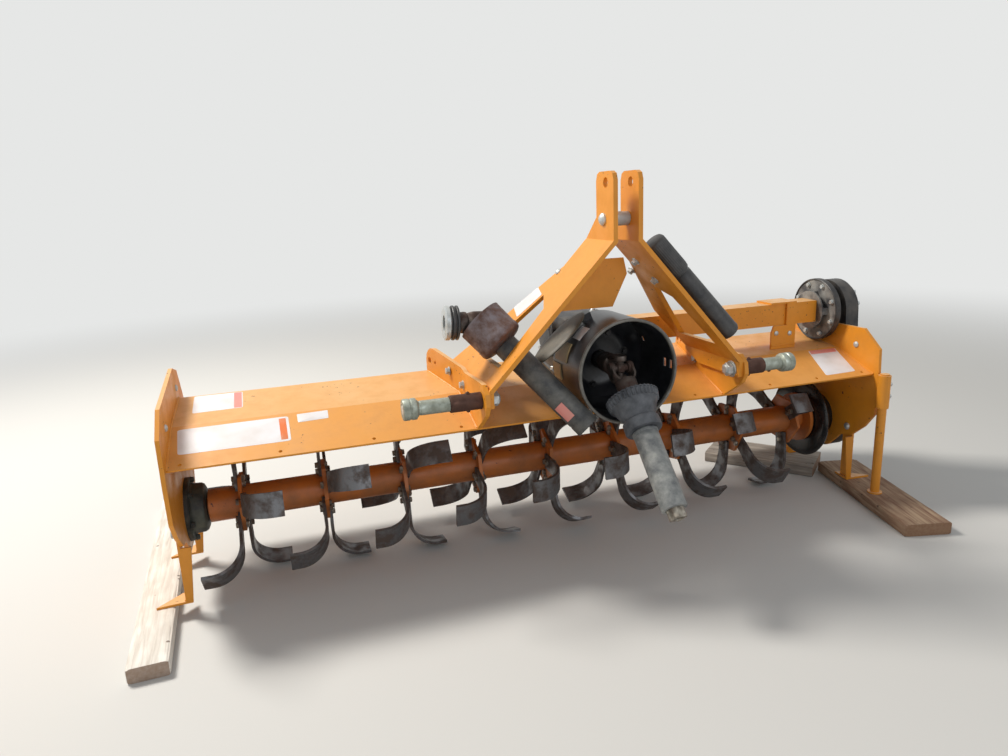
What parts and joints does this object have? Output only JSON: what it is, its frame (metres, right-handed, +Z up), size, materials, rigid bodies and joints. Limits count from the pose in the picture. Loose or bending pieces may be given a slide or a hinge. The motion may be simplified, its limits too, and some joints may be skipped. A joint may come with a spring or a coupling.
{
  "type": "rotary tiller",
  "caption": "Tractor mounted rotary tiller with a tined rotor under a folded hood, mast, lower hitch pins, side drive and a hanging drive line, stored on planks.",
  "frame": {"origin": "on the floor under the middle of the part's box, which is under the rotor's axis and midway between the outer planks", "axes": "+X along the working width, to the right seen from the tractor; +Y to the rear; +Z up"},
  "size_m": [2.372, 1.2308, 1.052],
  "materials": {
    "orange_paint": "weathered orange enamel on steel sheet",
    "tine_steel": "dark forged steel worn by soil",
    "black_casting": "black painted cast iron",
    "black_plastic": "dusty black moulded plastic",
    "dark_steel": "dark steel with surface rust",
    "zinc": "zinc plated steel",
    "rusty_steel": "brown rusted steel",
    "wood": "weathered sawn timber"
  },
  "bodies": {
    "frame": {"canister": "black_plastic", "cross_plate": "orange_paint", "drive_bracket": "orange_paint", "drive_case": "black_casting", "drive_drum": "black_casting", "drive_tube": "orange_paint", "gearbox": "black_casting", "hinge_pin": "zinc", "hitch_bush_left": "zinc", "hitch_bush_right": "zinc", "hitch_pin_left": "zinc", "hitch_pin_right": "zinc", "hitch_plate_left": "orange_paint", "hitch_plate_right": "orange_paint", "hood": "orange_paint", "input_boss": "black_casting", "input_yoke": "dark_steel", "joint_cross": "dark_steel", "leg_left_front": "orange_paint", "leg_left_rear": "orange_paint", "leg_right_front": "orange_paint", "leg_right_rear": "orange_paint", "loose_bell": "dark_steel", "loose_collar": "zinc", "loose_tube": "black_plastic", "loose_yoke": "dark_steel", "mast_plate_left": "orange_paint", "mast_plate_right": "orange_paint", "mast_spacer": "zinc", "pin_spacer_left": "rusty_steel", "pin_spacer_right": "rusty_steel", "plank_left": "wood", "plank_rear": "wood", "plank_right": "wood", "pto_guard": "black_plastic", "rotor_bearing_left": "black_casting", "rotor_hub_right": "black_casting", "side_plate_left": "orange_paint", "side_plate_right": "orange_paint", "stand_sleeve": "orange_paint"},
    "rotor": {"rotor_shaft": "orange_paint", "tines_1": "tine_steel", "tines_2": "tine_steel", "tines_3": "tine_steel", "tines_4": "tine_steel", "tines_5": "tine_steel", "tines_6": "tine_steel", "tines_7": "tine_steel", "tines_8": "tine_steel", "tines_9": "tine_steel"},
    "drive_line": {"line_yoke": "dark_steel", "line_bell": "black_plastic", "line_tube": "black_plastic", "line_core": "dark_steel"},
    "tailgate_flap": {"tailgate": "orange_paint"},
    "stand_tube": {"parking_stand": "orange_paint"}
  },
  "joints": [
    {"name": "rotor_spin", "type": "hinge", "parent": "frame", "child": "rotor", "pos_m": [0, 0, 0.228], "axis": [1, 0, 0], "continuous": true},
    {"name": "tailgate_hinge", "type": "hinge", "parent": "frame", "child": "tailgate_flap", "pos_m": [0, 0.248, 0.396], "axis": [1, 0, 0], "range_deg": [0, 75]},
    {"name": "drive_line_hinge", "type": "hinge", "parent": "frame", "child": "drive_line", "pos_m": [0.11, -0.3, 0.554], "axis": [1, 0, 0], "range_deg": [-55, 0]},
    {"name": "stand_slide", "type": "slide", "parent": "frame", "child": "stand_tube", "axis": [0, 0, 1], "range_m": [0, 0.2]}
  ]
}
